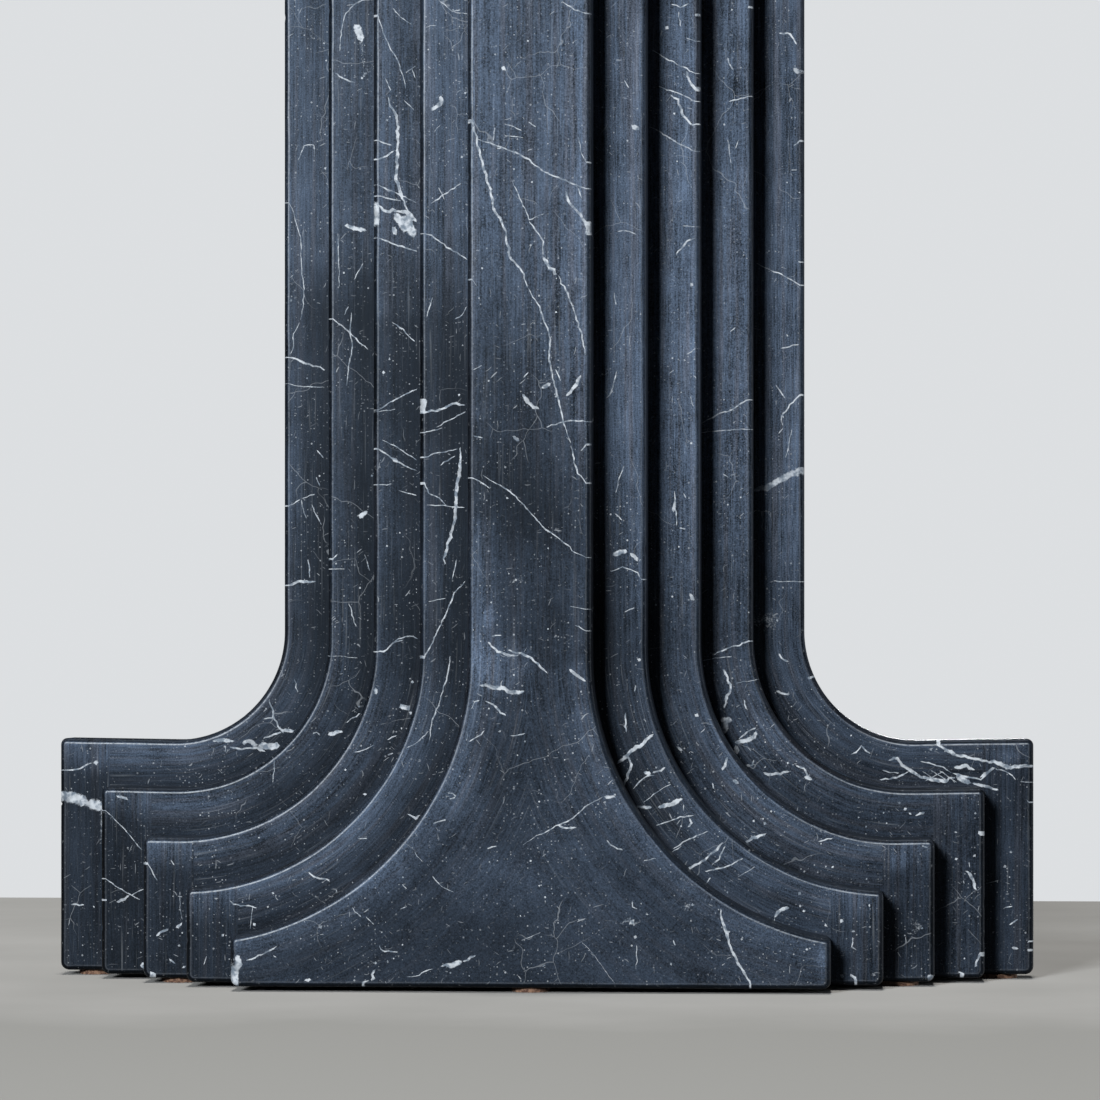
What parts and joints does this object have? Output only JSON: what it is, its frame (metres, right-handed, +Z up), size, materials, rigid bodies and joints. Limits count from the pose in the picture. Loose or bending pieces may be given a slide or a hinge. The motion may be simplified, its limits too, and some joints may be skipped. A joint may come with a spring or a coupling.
{
  "type": "stepped marble column",
  "caption": "Freestanding stepped column of veined black marble slabs laid face to face, each an upside-down T with a straight shaft, round sweeps and low wings, on thin pads, with a flat top.",
  "frame": {"origin": "on the floor, under the middle of the column", "axes": "+Z up along the shaft, front face towards -Y, wings along X"},
  "size_m": [0.58, 0.2724, 1],
  "materials": {
    "marble_middle": "honed black marble with white veins",
    "marble": "honed black marble with white veins",
    "cork": "plain brown cork"
  },
  "bodies": {
    "root": {"slab_middle": "marble_middle", "slab_front_1": "marble", "slab_front_2": "marble", "slab_front_3": "marble", "slab_front_4": "marble", "slab_back_1": "marble", "slab_back_2": "marble", "slab_back_3": "marble", "slab_back_4": "marble", "pad_middle_left": "cork", "pad_middle_right": "cork", "pad_front_left": "cork", "pad_front_right": "cork", "pad_front_centre": "cork", "pad_back_left": "cork", "pad_back_right": "cork", "pad_back_centre": "cork"}
  },
  "joints": []
}
